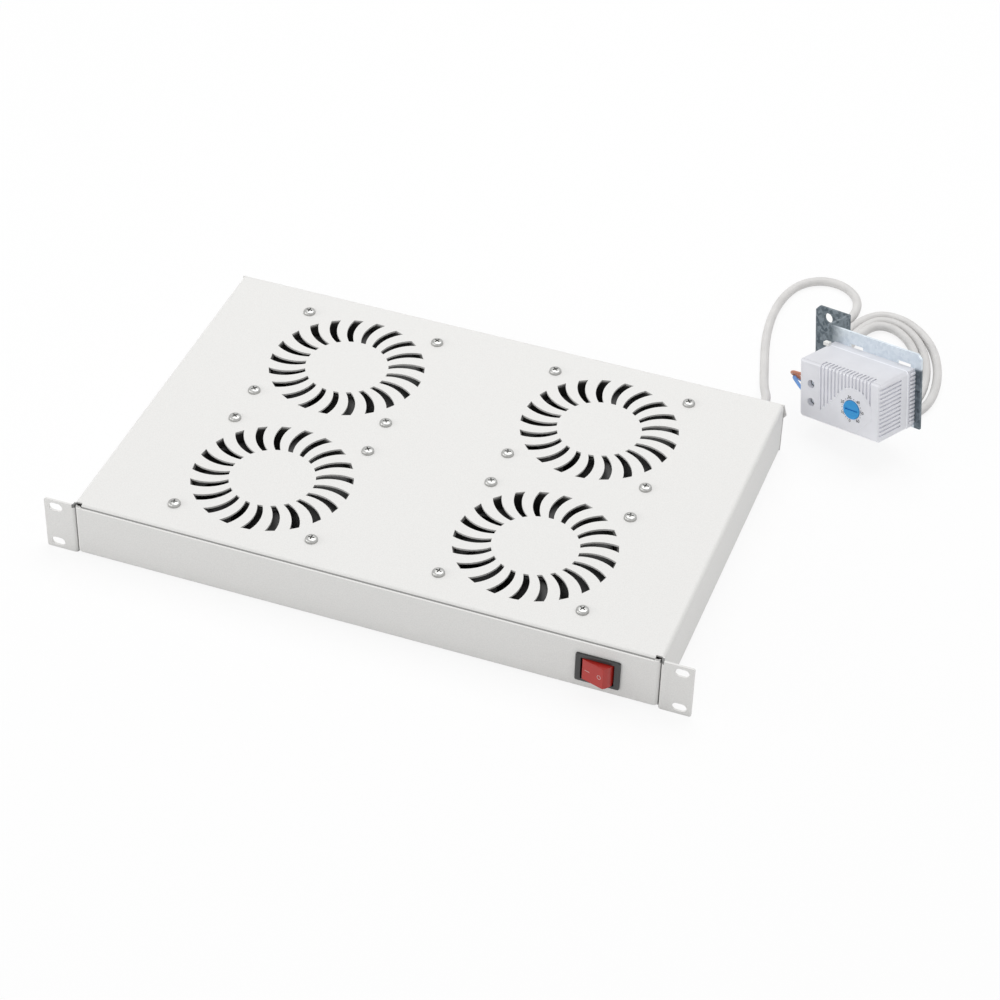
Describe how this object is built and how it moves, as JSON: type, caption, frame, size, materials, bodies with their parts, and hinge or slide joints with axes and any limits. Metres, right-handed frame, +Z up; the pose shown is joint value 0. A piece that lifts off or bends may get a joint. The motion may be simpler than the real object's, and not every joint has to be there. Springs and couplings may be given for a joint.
{
  "type": "rack fan tray",
  "caption": "One-unit rack fan tray: folded steel tray with curved-slot fan grilles, rocker switch, mains inlet and a corded thermostat.",
  "frame": {"origin": "centre of the four rack slots, on the rear face of the ears", "axes": "+X to the right as seen from the front, along the rack ears; -Y out of the front; +Z up"},
  "size_m": [0.5584, 0.5278, 0.084],
  "materials": {
    "steel_powder_coat": "fine matt powder coat",
    "zinc": "bright zinc plate",
    "brass": "plain",
    "black_plastic": "moulded",
    "red_plastic": "moulded, glossy",
    "grey_plastic": "moulded",
    "white_plastic": "moulded",
    "case_plastic": "light grey, moulded",
    "blue_plastic": "moulded",
    "galvanised": "galvanised, with spangle",
    "cord_jacket": "light grey jacket, matt",
    "brown_insulation": "brown",
    "blue_insulation": "blue",
    "fan_frame_metal": "black, cast",
    "motor_steel": "plain",
    "bearing_steel": "ground"
  },
  "bodies": {
    "tray": {"cable_gland": "grey_plastic", "cord_coil": "cord_jacket", "cord_lead": "cord_jacket", "cord_tail": "cord_jacket", "earth_nuts": "zinc", "earth_stud": "brass", "fan_bearings_1": "bearing_steel", "fan_bearings_2": "bearing_steel", "fan_bearings_3": "bearing_steel", "fan_bearings_4": "bearing_steel", "fan_frame_1": "fan_frame_metal", "fan_frame_2": "fan_frame_metal", "fan_frame_3": "fan_frame_metal", "fan_frame_4": "fan_frame_metal", "fan_motor_1": "motor_steel", "fan_motor_2": "motor_steel", "fan_motor_3": "motor_steel", "fan_motor_4": "motor_steel", "fan_screws": "zinc", "front_panel": "steel_powder_coat", "gland_nut": "grey_plastic", "inlet_nuts": "zinc", "inlet_pins": "brass", "inlet_screws": "zinc", "mains_inlet": "black_plastic", "rail_clip": "white_plastic", "switch_housing": "black_plastic", "switch_terminals": "brass", "terminal_block": "white_plastic", "thermostat_base": "case_plastic", "thermostat_bracket": "galvanised", "thermostat_carrier": "white_plastic", "thermostat_cover": "case_plastic", "thermostat_screws": "zinc", "tray_shell": "steel_powder_coat", "wire_blue": "blue_insulation", "wire_brown": "brown_insulation"},
    "rocker": {"switch_rocker": "red_plastic"},
    "dial": {"thermostat_dial": "blue_plastic"},
    "fan_1": {"fan_impeller_1": "black_plastic", "fan_shaft_1": "bearing_steel"},
    "fan_2": {"fan_impeller_2": "black_plastic", "fan_shaft_2": "bearing_steel"},
    "fan_3": {"fan_impeller_3": "black_plastic", "fan_shaft_3": "bearing_steel"},
    "fan_4": {"fan_impeller_4": "black_plastic", "fan_shaft_4": "bearing_steel"}
  },
  "joints": [
    {"name": "fan_1_spin", "type": "hinge", "parent": "tray", "child": "fan_1", "pos_m": [-0.1, 0.0785, 0.00165], "axis": [0, 0, 1], "continuous": true},
    {"name": "fan_2_spin", "type": "hinge", "parent": "tray", "child": "fan_2", "pos_m": [0.1, 0.0785, 0.00165], "axis": [0, 0, 1], "continuous": true},
    {"name": "fan_3_spin", "type": "hinge", "parent": "tray", "child": "fan_3", "pos_m": [-0.1, 0.2185, 0.00165], "axis": [0, 0, 1], "continuous": true},
    {"name": "fan_4_spin", "type": "hinge", "parent": "tray", "child": "fan_4", "pos_m": [0.1, 0.2185, 0.00165], "axis": [0, 0, 1], "continuous": true},
    {"name": "rocker_tilt", "type": "hinge", "parent": "tray", "child": "rocker", "pos_m": [0.174, 0.0011, -0.00165], "axis": [0, 0, 1], "range_deg": [0, 34]},
    {"name": "dial_turn", "type": "hinge", "parent": "tray", "child": "dial", "pos_m": [0.26729, 0.30815, 0.02313], "axis": [-0.4352, -0.8929, 0.1151], "range_deg": [-135, 135]}
  ]
}
